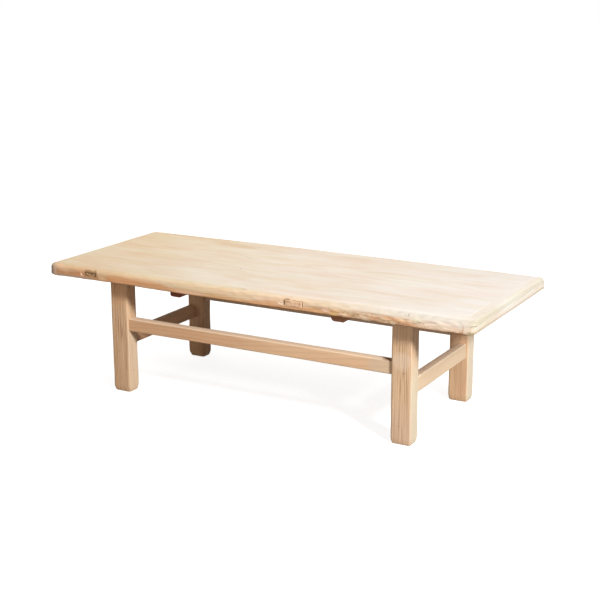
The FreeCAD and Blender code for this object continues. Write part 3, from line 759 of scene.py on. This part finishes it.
for node, name, joint, seed in (("end_cap_left", "left_end_cap", board_ends[0], 41),
                                ("end_cap_right", "right_end_cap", board_ends[1], 53)):
    low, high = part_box(node)

    def outer_edge(upper):
        """A test for the upper edges off the joint, with the upright ones, or the lower ones."""
        return lambda middle, edge: (abs(middle.x - joint) > beside_joint
                                     and (middle.z > mid_level - 0.001) == upper)

    bm = timber(low, high, [(outer_edge(True), edge_round, edge_round_steps),
                            (outer_edge(False), lower_edge_round, edge_round_steps)], cap_net)
    weather(bm, grain=1, seed=seed, groove=0.0003, swell=0.0009, held=[(0, joint)], form=top_form)
    wood = Wood(f"washed_elm_{name}", grain=1, seed=seed)
    wood.raw(cap_pale, cap_warm, board_deep, rings=0.3, streaks=0.35)
    at_right = joint > 0
    if at_right:
        wood.coat(0.75, wash_right)
    wash(wood)
    if not at_right:
        mark(wood, [(corner_orange, 0.7, (-0.740, -0.300, 0.419), (0.030, 0.02, 0.013))])
        # Painted shade on the rounded front left corner, and painted light at its far end, where
        # the rounding turns away from the light.
        corner = wood.spot((-0.748, front_edge, 0.407), (0.030, 0.045, 0.040), ragged=0.2, soft=0.8)
        wood.coat(wood.times(corner, 0.8), corner_painted_shade)
        corner = wood.spot((-0.772, -0.295, 0.407), (0.022, 0.03, 0.045), ragged=0.1, soft=0.6)
        wood.coat(corner, corner_painted_light)
    else:
        end_face = wood.between(wood.x, 0.745, 0.755)
        # Painted shade: the upper end face and its arris are glazed darker, against the highlight
        # they catch.
        wood.glaze(wood.times(end_face, wood.between(wood.z, 0.410, 0.418)), end_arris_shade)
        wood.glaze(wood.times(end_face, wood.between(wood.z, 0.418, 0.410)), end_tint)
        corner = wood.spot((0.765, -0.26, 0.42), (0.05, 0.22, 0.06), ragged=0.1, soft=0.7)
        wood.glaze(corner, corner_straw)
        mark(wood, [on_edge(worn_pale, 0.6, 0.742, 0.400, 0.018, 0.014),
                    on_edge(rust, 0.9, 0.7255, 0.402, 0.0024, 0.018, into=0.02),
                    on_edge(torn_brown, 0.5, 0.7250, 0.402, 0.0018, 0.016, into=0.02),
                    on_edge(cap_olive, 0.8, 0.750, 0.393, 0.018, 0.006)])
    piece(name, bm, wood.finish(chalky_rough, gloss=chalky_gloss), [node])


# The fillings of the two old mortises. In the left one a tenon was sheared off and left a torn
# dark stub; in the right one a plug was let in flush, with a dark gap round it.
filling_easing = 0.0008


def filling(node, name, net, roughness, colours, torn_share, seed, marks=()):
    """A filling whose front face is rough and torn."""
    low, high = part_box(node)

    def front_rim(middle, edge):
        return middle.y < low.y + on_face

    bm = timber(low, high, [(front_rim, filling_easing, 1)], (net, net, net))

    def torn(place, normal):
        if normal.y > -0.5:
            return Vector()
        lump = noise.noise(Vector((place.x * 110, 4, place.z * 200)))
        return Vector((0, -roughness * lump, 0))

    weather(bm, grain=1, seed=seed, groove=0.0002, swell=0.0, form=torn)
    wood = Wood(f"{name}_wood", grain=1, seed=seed)
    wood.raw(*colours, rings=0.3, streaks=0.9, dirt=0.9)
    wood.coat(wood.times(wood.between(wood.crumb, 0.5, 0.62), torn_share), colours[2])
    mark(wood, marks)
    piece(name, bm, wood.finish(), [node])


stub_colours = ((0.68, 0.47, 0.27, 1), (0.53, 0.34, 0.18, 1), (0.21, 0.12, 0.055, 1))
plug_colours = ((0.88, 0.62, 0.44, 1), (0.80, 0.51, 0.33, 1), (0.42, 0.23, 0.13, 1))
stub_marks = [on_edge(torn_brown, 0.7, -0.592, 0.4065, 0.010, 0.0045, into=0.02)]
plug_marks = [on_edge(torn_brown, 0.9, 0.1525, 0.409, 0.0028, 0.010, into=0.02),
              on_edge(torn_brown, 0.8, 0.161, 0.4125, 0.012, 0.0024, into=0.02),
              on_edge(torn_brown, 0.7, 0.2035, 0.409, 0.0016, 0.008, into=0.02)]
filling("mortise_stub", "sheared_stub", net=0.0016, roughness=0.0045, colours=stub_colours,
        torn_share=0.55, seed=61, marks=stub_marks)
filling("mortise_plug", "flush_plug", net=0.003, roughness=0.0008, colours=plug_colours,
        torn_share=0.25, seed=67, marks=plug_marks)


# The two battens under the top. Dark rough-sawn bars, the right one the heavier, that slide into
# dovetail housings across the boards from the back edge.
batten_net = (0.0026, 0.008, 0.0026)
batten_top_inset = 0.004
batten_round_steps = 6
left_batten_colours = ((0.26, 0.085, 0.045, 1), (0.19, 0.055, 0.028, 1), (0.07, 0.02, 0.012, 1))
right_batten_colours = ((0.43, 0.21, 0.115, 1), (0.32, 0.15, 0.075, 1), (0.12, 0.05, 0.028, 1))
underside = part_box("top_board_front")[0].z

for node, name, sag, worn_side, round_off, colours, seed in (
        ("batten_left", "left_batten", 0.002, 0, 0.009, left_batten_colours, 71),
        ("batten_right", "right_batten", 0.003, 0.004, 0.013, right_batten_colours, 73)):
    low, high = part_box(node)
    low.z -= sag
    high.x -= worn_side
    high.z = underside + batten_top_inset
    bottom = low.z

    def lower_edge(middle, edge):
        return middle.z < bottom + on_face

    bm = timber(low, high, [(lower_edge, round_off, batten_round_steps)], batten_net)
    weather(bm, grain=1, seed=seed, groove=0.0004, swell=0.0008)
    wood = Wood(f"{name}_wood", grain=1, seed=seed)
    wood.raw(*colours, rings=0.4, streaks=0.6)
    piece(name, bm, wood.finish(), [node])


# The four legs. Square elm posts, wire-brushed so that the hard grain stands proud, with soft
# arrises and worn feet. A hidden tenon on each goes up into the boards.
leg_net = (0.0017, 0.0017, 0.008)
leg_top_inset = 0.003
leg_arris_round, leg_arris_steps = 0.0055, 5
leg_foot_round, leg_foot_steps = 0.004, 3
arris_wear_reach = 0.014
leg_pale = (0.80, 0.58, 0.39, 1)
leg_warm = (0.72, 0.47, 0.29, 1)
leg_deep = (0.36, 0.20, 0.11, 1)
leg_side_bleach_and_light = (0.67, 0.60, 0.465, 1)
leg_stain_and_shade = (0.66, 0.46, 0.34, 1)
leg_dry = (0.90, 0.80, 0.68, 1)
front_left_tint = (0.93, 0.88, 0.84, 1)
front_right_tint = (1, 1, 1, 1)
back_left_tint = (1, 0.95, 0.92, 1)
back_right_tint = (0.89, 0.83, 0.77, 1)


def leg(node, name, seed, worn, tint, pale_lit_side=0.0, marks=()):
    """A leg with wear of its own at its arrises and foot, tinted, and with a share of a paler right
    side, low down, partly bleached wood and partly painted light."""
    low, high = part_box(node)
    high.z = underside + leg_top_inset
    middle = (low + high) / 2
    half = (high - low) / 2

    def upright(centre, edge):
        return along(edge, 2)

    def round_the_foot(centre, edge):
        return centre.z < on_face and not along(edge, 2)

    bm = timber(low, high, [(upright, leg_arris_round, leg_arris_steps),
                            (round_the_foot, leg_foot_round, leg_foot_steps)], leg_net)

    def soft_arrises(place, normal):
        """Wear at the corners, deeper in places along the leg and at its foot."""
        from_x = half.x - abs(place.x - middle.x)
        from_y = half.y - abs(place.y - middle.y)
        close = max(0, 1 - math.hypot(from_x, from_y) / arris_wear_reach)
        corner = Vector((math.copysign(1, middle.x - place.x),
                         math.copysign(1, middle.y - place.y), 0))
        uneven = noise.noise(Vector((corner.x * 3, corner.y * 5 + seed, place.z * 11)))
        bite = max(0, worn * (0.55 + 0.9 * uneven)) + 0.0015 * smooth_step(0.022, 0.0, place.z)
        foot = (0.001 + worn) * smooth_step(0.016, 0.0, place.z)
        inward = Vector(((middle.x - place.x) / half.x, (middle.y - place.y) / half.y, 0))
        return corner * close ** 1.5 * bite + inward * foot

    weather(bm, grain=2, seed=seed, groove=0.0009, swell=0.0009, lines=150,
            held=[(2, high.z), (2, 0)], form=soft_arrises)
    wood = Wood(f"brushed_elm_{name}", grain=2, seed=seed, crook=0.02)
    wood.raw(leg_pale, leg_warm, leg_deep, rings=0.3, streaks=0.6, dirt=0)
    brushed = wood.between(wood.plus(wood.z, wood.times(wood.tone, 0.2)), 0.1, 0.3, 0.35, 1.0)
    wood.coat(wood.times(wood.times(wood.between(wood.hollow, 0.1, 0.8), brushed), 0.8), leg_deep)
    fine_lines = wood.times(wood.lines(110, 1.2, 0.04),
                            wood.between(wood.tone, 0.36, 0.62, 0.3, 0.8))
    wood.coat(wood.times(fine_lines, brushed), leg_deep)
    wood.glaze(1.0, tint)
    # Partly bleached wood and partly painted light: the right side is made paler, low down, fading
    # out towards the top.
    if pale_lit_side:
        side = wood.between(wood.x, high.x - 0.007, high.x - 0.0005)
        low_down = wood.between(wood.plus(wood.z, wood.times(wood.tone, 0.06)), 0.35, 0.19)
        wood.coat(wood.times(wood.times(side, low_down), pale_lit_side), leg_side_bleach_and_light)
    # The top of the leg is glazed darker: partly a real stain, where the wood stayed unbleached,
    # and partly painted shade under the top.
    stained_and_shaded_top = wood.between(wood.plus(wood.z, wood.times(wood.streak, 0.02)), 0.34, 0.375)
    wood.glaze(wood.times(stained_and_shaded_top, 0.15), leg_stain_and_shade)
    mark(wood, marks)
    piece(name, bm, wood.finish(), [node])


front_face, back_leg_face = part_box("leg_front_left")[0].y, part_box("leg_back_left")[0].y
left_leg_side, right_leg_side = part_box("leg_front_left")[1].x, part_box("leg_back_right")[1].x
front_left_marks = [(edge_orange, 0.4, (-0.516, front_face, 0.335), (0.05, 0.02, 0.045)),
                    (speck_brown, 0.5, (-0.521, front_face, 0.142), (0.005, 0.02, 0.0016)),
                    (speck_brown, 0.5, (left_leg_side, -0.226, 0.073), (0.02, 0.005, 0.0016))]
# Painted light: the edge_warm patch high on the front lifts the shade that the top casts there.
front_right_marks = [(edge_warm, 0.55, (0.516, front_face, 0.355), (0.05, 0.02, 0.045)),
                     (leg_dry, 0.25, (0.516, front_face, 0.262), (0.04, 0.02, 0.035)),
                     (leg_stain_and_shade, 0.45, (0.516, front_face, 0.02), (0.06, 0.02, 0.14)),
                     (speck_brown, 0.6, (0.524, front_face, 0.226), (0.006, 0.02, 0.0016)),
                     (speck_brown, 0.5, (0.508, front_face, 0.058), (0.005, 0.02, 0.0016))]
# Painted light: the edge_warm patch lifts the shade on the back left leg's front.
back_left_marks = [(edge_warm, 0.5, (-0.516, back_leg_face, 0.17), (0.06, 0.02, 0.06))]
back_right_marks = [(leg_dry, 0.22, (right_leg_side, 0.2255, 0.2), (0.006, 0.08, 0.35)),
                    (leg_warm, 0.35, (0.51, back_leg_face, 0.2), (0.07, 0.01, 0.5)),
                    # Painted light: this patch lifts the shade across the front of the back right
                    # leg.
                    (edge_warm, 0.9, (0.516, back_leg_face, 0.222), (0.04, 0.02, 0.05))]
leg("leg_front_left", "front_left_leg", seed=83, worn=0.0014, tint=front_left_tint,
    pale_lit_side=0.35, marks=front_left_marks)
leg("leg_front_right", "front_right_leg", seed=89, worn=0.0010, tint=front_right_tint,
    pale_lit_side=0.8, marks=front_right_marks)
leg("leg_back_left", "back_left_leg", seed=97, worn=0.0026, tint=back_left_tint,
    marks=back_left_marks)
leg("leg_back_right", "back_right_leg", seed=101, worn=0.0010, tint=back_right_tint,
    pale_lit_side=0.8, marks=back_right_marks)


# The two long rails. Planed elm, smoother than the legs, tenoned into them. A thin dark gap
# shows at each shoulder. The back one is planed thinner from below.
long_rail_net = (0.009, 0.003, 0.003)
rail_arris_round, rail_arris_steps = 0.0035, 4
rail_pale = (0.80, 0.545, 0.35, 1)
rail_warm = (0.74, 0.46, 0.275, 1)
rail_deep = (0.44, 0.26, 0.155, 1)
rail_left_shade = (0.86, 0.79, 0.74, 1)
rail_side_bleach_and_light = (0.64, 0.52, 0.375, 1)
rail_painted_light = (0.90, 0.76, 0.60, 1)
rail_dust = (0.62, 0.53, 0.41, 1)
shoulder_gap = 0.0008
tenon_reach = 0.012
tenon_inset = 0.006


def rail(node, name, run, shoulders, net, seed, pale_lit_side=0.0, marks=(), planed=0.0):
    """A rail between two legs, with the start of its tenon at either end. It may be planed thinner
    from below, and have a share of a paler right side, partly bleached wood and partly painted
    light. Painted shade darkens it towards the left, and painted light makes its upper face paler."""
    low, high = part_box(node)
    low.z += planed
    low[run] = shoulders[0] + shoulder_gap
    high[run] = shoulders[1] - shoulder_gap

    def lengthwise(middle, edge):
        return along(edge, run)

    bm = timber(low, high, [(lengthwise, rail_arris_round, rail_arris_steps)], net)
    for shoulder, outward in ((low[run], -1), (high[run], 1)):
        ends = [face for face in bm.faces
                if all(abs(vert.co[run] - shoulder) < on_face for vert in face.verts)]
        bmesh.ops.inset_region(bm, faces=ends, thickness=tenon_inset, use_even_offset=True)
        step = Vector()
        step[run] = outward * (tenon_reach + shoulder_gap)
        push(bm, ends, step)
    weather(bm, grain=run, seed=seed, groove=0.0002, swell=0.0009,
            held=[(run, low[run]), (run, high[run])])
    wood = Wood(f"planed_elm_{name}", grain=run, seed=seed)
    wood.raw(rail_pale, rail_warm, rail_deep, rings=0.2, streaks=0.22, dirt=0.3)
    # Painted shade: the rail darkens towards the left, where less light reaches.
    wood.glaze(wood.between(wood.x, 0.3, -0.4), rail_left_shade)
    # Partly bleached wood and partly painted light: the right side is made paler.
    if pale_lit_side:
        side = wood.between(wood.x, high.x - 0.005, high.x - 0.001)
        wood.coat(wood.times(side, pale_lit_side), rail_side_bleach_and_light)
    # Painted light: the upper face is made paler, as if lit in full.
    lit_upper_face = wood.between(wood.z, high.z - 0.005, high.z - 0.001)
    wood.coat(wood.times(lit_upper_face, 0.6), rail_painted_light)
    mark(wood, marks)
    piece(name, bm, wood.finish(relief=0.0002), [node])


long_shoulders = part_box("leg_front_left")[1].x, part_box("leg_front_right")[0].x
front_rail_face, back_rail_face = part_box("long_rail_front")[0].y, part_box("long_rail_back")[0].y
front_rail_marks = [(rail_dust, 0.45, (0.445, front_rail_face, 0.235), (0.055, 0.01, 0.035)),
                    # Painted shade: the dark speck on the rail's top at its right shoulder stands
                    # for shade by the leg.
                    (speck_brown, 0.6, (0.466, front_rail_face, 0.257), (0.024, 0.03, 0.004))]
# Painted light: a pale band lifts the shaded front face of the back rail.
back_rail_marks = [(rail_painted_light, 0.6, (0, back_rail_face, 0.235), (0.9, 0.005, 0.06))]
rail("long_rail_front", "front_rail", 0, long_shoulders, long_rail_net, seed=107,
     marks=front_rail_marks)
rail("long_rail_back", "back_rail", 0, long_shoulders, long_rail_net, seed=109,
     marks=back_rail_marks, planed=0.0028)


# The two side rails. Planed elm as well, tenoned into the legs lower down, so that their mortises
# miss those of the long rails.
side_rail_net = (0.003, 0.009, 0.003)
side_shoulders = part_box("leg_front_left")[1].y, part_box("leg_back_left")[0].y
rail("side_rail_left", "left_rail", 1, side_shoulders, side_rail_net, seed=113)
rail("side_rail_right", "right_rail", 1, side_shoulders, side_rail_net, seed=127, pale_lit_side=0.7)


# The pins through the rail tenons. Split bamboo, driven from the inner faces of the legs, so that
# none shows outside.
finish_node("long_rail_pins", bamboo("bamboo_through_long_rails", 1))
finish_node("side_rail_pins", bamboo("bamboo_through_side_rails", 0))


# The wedges in the leg tenons. Split hardwood, which spreads each tenon as it is driven home,
# hidden in the boards.
wedge_pale = (0.50, 0.32, 0.17, 1)
wedge_warm = (0.42, 0.25, 0.12, 1)
wedge_deep = (0.22, 0.11, 0.05, 1)
wood = Wood("wedge_wood", grain=2, seed=131)
wood.raw(wedge_pale, wedge_warm, wedge_deep, dirt=0)
finish_node("leg_tenon_wedges", wood.finish())
